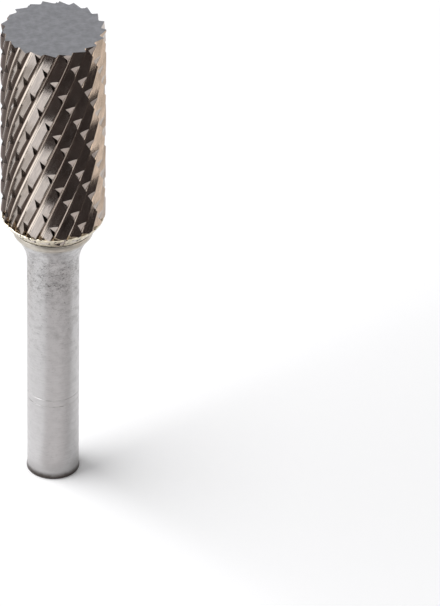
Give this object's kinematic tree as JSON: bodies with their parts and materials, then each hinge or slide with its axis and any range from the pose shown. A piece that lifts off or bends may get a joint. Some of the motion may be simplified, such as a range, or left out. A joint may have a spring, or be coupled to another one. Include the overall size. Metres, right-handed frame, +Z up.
{
  "type": "carbide burr",
  "caption": "Cylindrical double-cut rotary burr: spiral-fluted carbide head with chip breakers and plain end, brazed to a flared plain steel shank.",
  "frame": {"origin": "centre of the shank's foot, on the surface that the burr stands on", "axes": "+Z up the burr's own axis, from the foot of the shank to the plain end of the head; -Y faces the camera"},
  "size_m": [0.012, 0.012, 0.06],
  "materials": {
    "carbide": "ground, semi-gloss",
    "braze": "dull, slightly pitted",
    "shank_steel": "fine ground, satin"
  },
  "bodies": {
    "root": {"carbide_head": "carbide", "braze_joint": "braze", "steel_shank": "shank_steel"}
  },
  "joints": []
}
